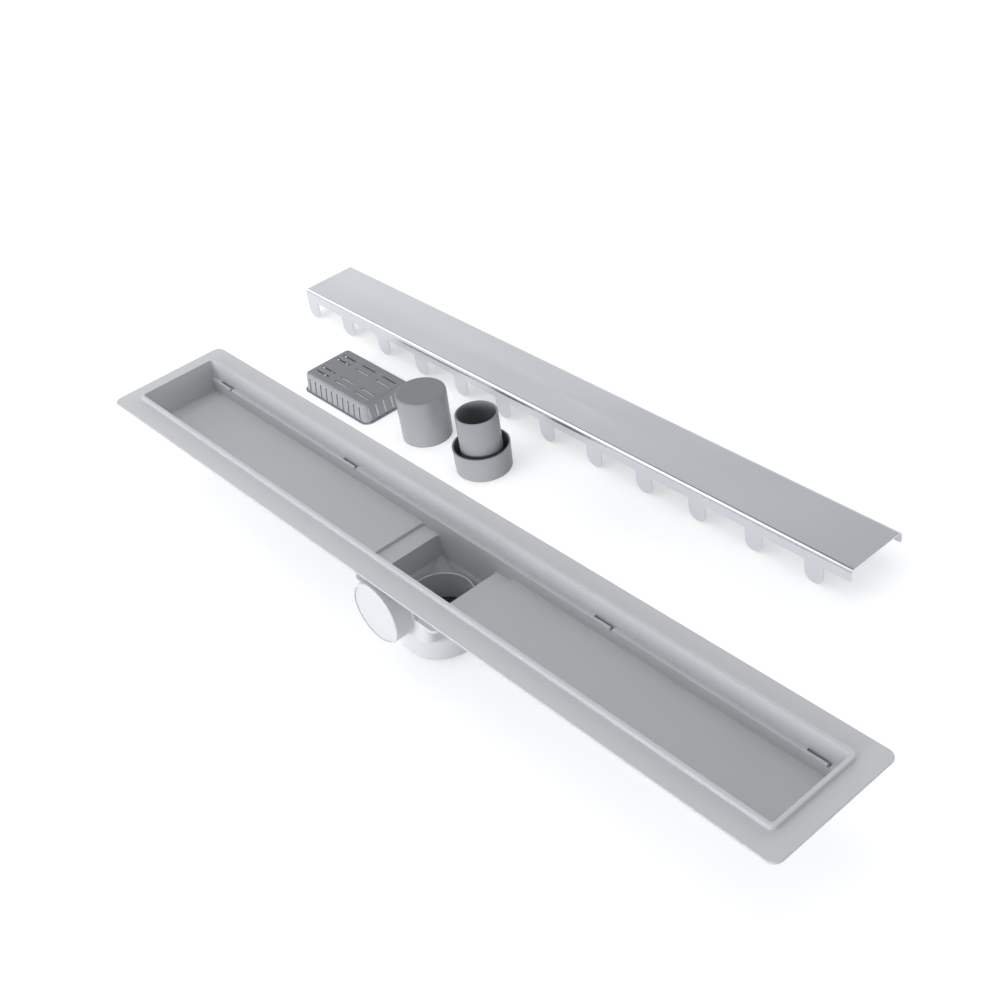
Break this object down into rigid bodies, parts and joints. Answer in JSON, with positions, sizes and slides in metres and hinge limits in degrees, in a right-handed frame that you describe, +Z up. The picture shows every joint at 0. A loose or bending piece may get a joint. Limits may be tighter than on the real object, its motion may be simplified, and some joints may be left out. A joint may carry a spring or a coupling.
{
  "type": "linear shower drain",
  "caption": "Linear shower channel with a flange, bell trap, side outlet, slotted strainer and a folded steel cover.",
  "frame": {"origin": "on the socket's axis, at the pot's underside, midway along the channel", "axes": "+X along the channel, -Y the way the outlet points, +Z up"},
  "size_m": [0.855, 0.3378, 0.0912],
  "materials": {
    "tray_plastic": "fine matt moulded grey",
    "pot_plastic": "white moulded",
    "plug_plastic": "white moulded",
    "seal_rubber": "matt black",
    "trap_plastic": "satin moulded grey",
    "cover_steel": "brushed along its length"
  },
  "bodies": {
    "root": {"channel_tray": "tray_plastic", "sump_liner": "tray_plastic", "trap_pot": "pot_plastic", "outlet_plug": "plug_plastic", "seat_seal": "seal_rubber", "standpipe": "trap_plastic", "trap_bell": "trap_plastic", "strainer": "trap_plastic", "cover": "cover_steel"}
  },
  "joints": []
}
